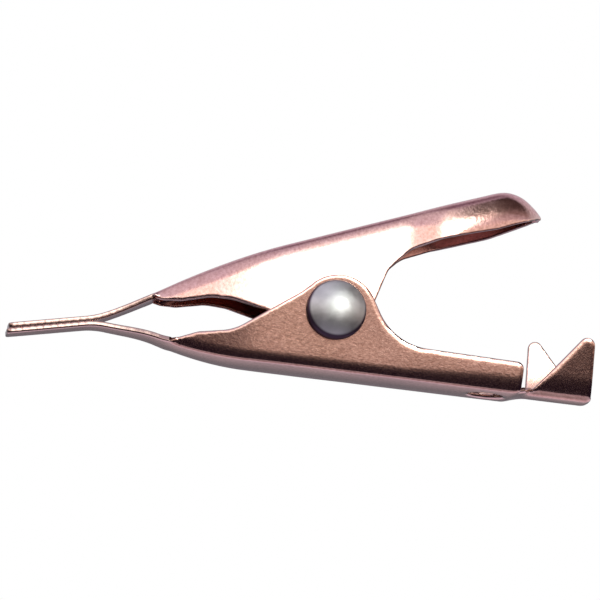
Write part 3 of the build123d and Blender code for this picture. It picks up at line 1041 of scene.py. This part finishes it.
def steel(name, base, grain_scale, roughness, strength, shade_ring_beyond=None):
    """Tumbled or drawn steel with fine scratches and small pits.

    The last argument is the radius about the rivet's axis, in mm, at which a ring of painted shade under the
    head's rim begins."""
    material, tree, shader = new_material(name)
    scratch = noise_on(tree, grain_scale)
    pits = node(tree, "ShaderNodeTexVoronoi", {"Vector": mapped(tree, (1.3, 1.3, 1.3)), "Scale": 1.0})
    stain = noise_on(tree, (0.7, 0.7, 0.7))
    dull = mix_colour(tree, 1.0, base, colour(0.74, 0.76, 0.74), "MULTIPLY")
    tint = mix_colour(tree, stretched(tree, stain, 0.3, 0.7), dull, base)
    # Painted shade: a dark ring about the rivet's axis, at the edge of the head.
    if shade_ring_beyond:
        centre = PIVOT + np.array((0.05, 0, 0.2)) * MM
        inputs = {0: place_on(tree), 1: (1, 0, 1)}
        flat = node(tree, "ShaderNodeVectorMath", inputs, operation="MULTIPLY").outputs[0]
        inputs = {0: flat, 1: (centre[0], 0, centre[2])}
        reach = node(tree, "ShaderNodeVectorMath", inputs, operation="DISTANCE").outputs["Value"]
        rim = between(tree, reach, shade_ring_beyond * MM, (shade_ring_beyond + RIM_SHADE_WIDTH) * MM, 0.95)
        tint = mix_colour(tree, rim, tint, colour(0.06, 0.03, 0.06))
    rough = math_node(tree, "MULTIPLY_ADD", scratch, 0.18, roughness)
    pit = stretched(tree, pits.outputs["Distance"], 0.0, 0.16)
    height = math_node(tree, "MULTIPLY_ADD", pit, 0.6, math_node(tree, "MULTIPLY", scratch, 0.5))
    finish_metal(tree, shader, tint, rough, height, strength)
    return material


# ---- pieces ------------------------------------------------------------------------------------
lower_copper = copper("lower_copper", colour(0.93, 0.60, 0.46), colour(0.86, 0.55, 0.44), 0.0)
# The upper lever's inner face is darkened as painted shade.
upper_copper = copper(
    "upper_copper", colour(0.94, 0.62, 0.50), colour(0.88, 0.57, 0.50), 5.0, inner_shade=0.45
)
rivet_steel = steel(
    "rivet_steel", colour(0.64, 0.65, 0.62), (2.0, 2.0, 2.0), 0.34, 0.4, shade_ring_beyond=2.68
)
spring_steel = steel("spring_steel", colour(0.55, 0.56, 0.58), (0.8, 6.0, 6.0), 0.2, 0.25)

lower_lever = make_lower_lever(lower_copper)
upper_lever = make_upper_lever(upper_copper)
rivet = make_rivet(rivet_steel)
spring, coil_half = make_spring(spring_steel)

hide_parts("lower_lever")
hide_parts("upper_lever")
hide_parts("pivot_rivet")
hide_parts("torsion_spring")
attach(lower_lever, LOWER_BODY)
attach(upper_lever, UPPER_BODY)
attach(rivet, LOWER_BODY)
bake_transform(spring)


# ---- stage, light and camera -------------------------------------------------------------------
FLOOR_FADE_START = 0.08
FLOOR_FADE_END = 0.40


def make_floor():
    """Pale floor that fades to white far out. It isn't seen from below, nor in the metal."""
    reach, count = 3.0, 48
    # A hair below the clip, so that the two don't share a plane.
    centre = (0.0, 0.0, -0.02 * MM)
    points = [centre]
    for i in range(count):
        angle = 2 * math.pi * i / count
        points.append((reach * math.cos(angle), reach * math.sin(angle), centre[2]))
    polygons = [(0, 1 + i, 1 + (i + 1) % count) for i in range(count)]
    mesh = bpy.data.meshes.new("floor")
    mesh.from_pydata(points, [], polygons)
    floor = bpy.data.objects.new("floor", mesh)
    bpy.context.scene.collection.objects.link(floor)
    material, tree, shader = new_material("pale_floor")
    shader.inputs["Base Color"].default_value = colour(0.86, 0.86, 0.87)
    shader.inputs["Roughness"].default_value = 0.7
    white = node(tree, "ShaderNodeEmission", {"Color": colour(1, 1, 1)})
    clear = node(tree, "ShaderNodeBsdfTransparent")
    away = node(tree, "ShaderNodeVectorMath", {0: place_on(tree)}, operation="LENGTH").outputs["Value"]
    faded = tree.nodes.new("ShaderNodeMixShader")
    tree.links.new(between(tree, away, FLOOR_FADE_START, FLOOR_FADE_END), faded.inputs[0])
    tree.links.new(shader.outputs["BSDF"], faded.inputs[1])
    tree.links.new(white.outputs[0], faded.inputs[2])
    back = node(tree, "ShaderNodeNewGeometry").outputs["Backfacing"]
    mixed = tree.nodes.new("ShaderNodeMixShader")
    tree.links.new(back, mixed.inputs[0])
    tree.links.new(faded.outputs[0], mixed.inputs[1])
    tree.links.new(clear.outputs[0], mixed.inputs[2])
    output = next(n for n in tree.nodes if n.type == "OUTPUT_MATERIAL")
    tree.links.new(mixed.outputs[0], output.inputs["Surface"])
    mesh.materials.append(material)
    floor.visible_glossy = False
    return floor


# Each sky is a list of (elevation in degrees, light). All four share what lies below the bench.
BELOW = [
    (-90, (0.24, 0.22, 0.28)),
    (-62, (0.40, 0.36, 0.46)),
    (-45, (0.46, 0.41, 0.54)),
    (-38, (0.008, 0.003, 0.012)),
    (-9, (0.015, 0.008, 0.018)),
]
SCREEN_SKY = BELOW + [
    (-5, (0.50, 0.40, 0.39)),
    (0, (0.74, 0.60, 0.58)),
    (3, (0.95, 0.84, 0.84)),
    (8, (4.0, 4.0, 4.0)),
    (21, (4.0, 4.0, 4.0)),
    (30, (2.0, 2.0, 2.1)),
    (38, (1.3, 1.35, 1.5)),
    (48, (0.95, 0.92, 1.05)),
    (74, (0.60, 0.55, 0.70)),
    (83, (0.24, 0.16, 0.25)),
    (90, (0.18, 0.11, 0.18)),
]
LEFT_SKY = BELOW + [
    (-1, (0.12, 0.08, 0.09)),
    (4, (0.75, 0.62, 0.60)),
    (8, (1.8, 1.65, 1.6)),
    (13, (1.5, 1.35, 1.4)),
    (19, (0.82, 0.72, 0.90)),
    (34, (0.80, 0.73, 0.92)),
    (60, (0.66, 0.60, 0.76)),
    (74, (0.52, 0.47, 0.60)),
    (83, (0.24, 0.16, 0.25)),
    (90, (0.18, 0.11, 0.18)),
]
RIGHT_SKY = BELOW + [
    (0, (0.35, 0.24, 0.22)),
    (7, (0.62, 0.46, 0.42)),
    (11, (1.15, 0.95, 0.86)),
    (15, (0.74, 0.60, 0.66)),
    (19, (0.50, 0.42, 0.52)),
    (24, (0.34, 0.25, 0.26)),
    (31, (0.06, 0.035, 0.035)),
    (66, (0.05, 0.03, 0.03)),
    (78, (0.42, 0.36, 0.5)),
    (90, (0.30, 0.24, 0.34)),
]
BACK_SKY = [
    (-90, (0.22, 0.20, 0.26)),
    (-60, (0.62, 0.53, 0.70)),
    (-24, (0.68, 0.58, 0.76)),
    (-18, (0.44, 0.40, 0.47)),
    (-12, (0.20, 0.20, 0.235)),
    (-8, (0.115, 0.125, 0.145)),
    (-3, (0.15, 0.155, 0.185)),
    (2, (0.30, 0.30, 0.33)),
    (12, (0.66, 0.66, 0.72)),
    (50, (0.62, 0.56, 0.72)),
    (66, (0.42, 0.35, 0.48)),
    (77, (0.20, 0.13, 0.21)),
    (90, (0.18, 0.11, 0.18)),
]


def sky_ramp(tree, elevation, stops):
    """Colour of one sky at an elevation that runs from 0 straight down to 1 straight up."""
    made = node(tree, "ShaderNodeValToRGB", {"Fac": elevation})
    elements = made.color_ramp.elements
    for i, (degrees, light) in enumerate(stops):
        place = (degrees + 90) / 180
        stop = elements[i] if i < 2 else elements.new(place)
        stop.position = place
        stop.color = colour(*light)
    return made.outputs[0]


# The key light is a round glow in the sky, brightest within its core.
KEY_AZIMUTH = math.radians(22)
KEY_ELEVATION = math.radians(22)
KEY_RADIUS = math.radians(7)
KEY_CORE = math.radians(2.5)
KEY_LIGHT = 26.0


def make_world():
    """Studio light: a white screen in front, dimmer sides and a dark gap at bench height."""
    world = bpy.data.worlds.new("studio")
    bpy.context.scene.world = world
    world.use_nodes = True
    tree = world.node_tree
    tree.nodes.clear()
    direction = node(tree, "ShaderNodeTexCoord").outputs["Generated"]
    parts = node(tree, "ShaderNodeSeparateXYZ", {"Vector": direction})
    height = math_node(tree, "ARCSINE", parts.outputs[2])
    elevation = math_node(tree, "MULTIPLY_ADD", height, 1 / math.pi, 0.5)
    forward = math_node(tree, "MULTIPLY", parts.outputs[1], -1.0)
    azimuth = math_node(tree, "ARCTAN2", parts.outputs[0], forward)
    screen, left, right, back = (
        sky_ramp(tree, elevation, stops) for stops in (SCREEN_SKY, LEFT_SKY, RIGHT_SKY, BACK_SKY)
    )
    on_left = between(tree, azimuth, math.radians(-2), math.radians(-16))
    on_right = between(tree, azimuth, math.radians(15), math.radians(28))
    behind = between(tree, forward, 0.15, -0.2)
    sky = mix_colour(tree, on_left, screen, left)
    sky = mix_colour(tree, on_right, sky, right)
    sky = mix_colour(tree, behind, sky, back)
    key = (
        math.cos(KEY_ELEVATION) * math.sin(KEY_AZIMUTH),
        -math.cos(KEY_ELEVATION) * math.cos(KEY_AZIMUTH),
        math.sin(KEY_ELEVATION),
    )
    inputs = {0: direction, 1: key}
    facing = node(tree, "ShaderNodeVectorMath", inputs, operation="DOT_PRODUCT").outputs["Value"]
    glow = between(tree, facing, math.cos(KEY_RADIUS), math.cos(KEY_CORE), KEY_LIGHT)
    lit = mix_colour(tree, 1.0, sky, glow, "ADD")
    path = node(tree, "ShaderNodeLightPath")
    seen = mix_colour(tree, path.outputs["Is Camera Ray"], lit, colour(1, 1, 1))
    background = node(tree, "ShaderNodeBackground", {"Color": seen, "Strength": 1.0})
    output = tree.nodes.new("ShaderNodeOutputWorld")
    tree.links.new(background.outputs[0], output.inputs[0])


def make_lamp():
    """A soft lamp over the bench, which lights the floor and the far side."""
    light = bpy.data.lights.new("overhead", "AREA")
    light.size = 0.5
    light.energy = 4.0
    lamp = bpy.data.objects.new("overhead", light)
    lamp.location = (0.25, -0.35, 0.7)
    lamp.rotation_euler = (Vector((0, 0, 0)) - lamp.location).to_track_quat("-Z", "Y").to_euler()
    lamp.visible_glossy = False
    bpy.context.scene.collection.objects.link(lamp)


VIEW_WIDTH = 61.538 * MM
AIM_ACROSS = 3.02 * MM
AIM_UP = 1.72 * MM


def make_camera():
    """Long lens, a little to the left of the side view, from below, tilted clockwise."""
    azimuth, elevation, roll = math.radians(-6.5), math.radians(-9.0), math.radians(6.1)
    lens, sensor = 250.0, 36.0
    distance = VIEW_WIDTH / sensor * lens
    right = Vector((math.cos(azimuth), math.sin(azimuth), 0))
    level = Vector((-math.sin(azimuth), math.cos(azimuth), 0))
    up = level * math.sin(elevation) + Vector((0, 0, math.cos(elevation)))
    across = right * math.cos(roll) + up * math.sin(roll)
    upright = up * math.cos(roll) - right * math.sin(roll)
    back = across.cross(upright)
    aim = Vector(PIVOT) - across * AIM_ACROSS + upright * AIM_UP
    data = bpy.data.cameras.new("camera")
    data.lens = lens
    data.sensor_width = sensor
    data.clip_start = 0.01
    camera = bpy.data.objects.new("camera", data)
    camera.location = aim + back * distance
    turn = Matrix((across, upright, back)).transposed()
    camera.rotation_euler = turn.to_euler()
    bpy.context.scene.collection.objects.link(camera)
    bpy.context.scene.camera = camera


make_floor()
make_world()
make_lamp()
make_camera()
bpy.context.scene.view_settings.view_transform = "Standard"
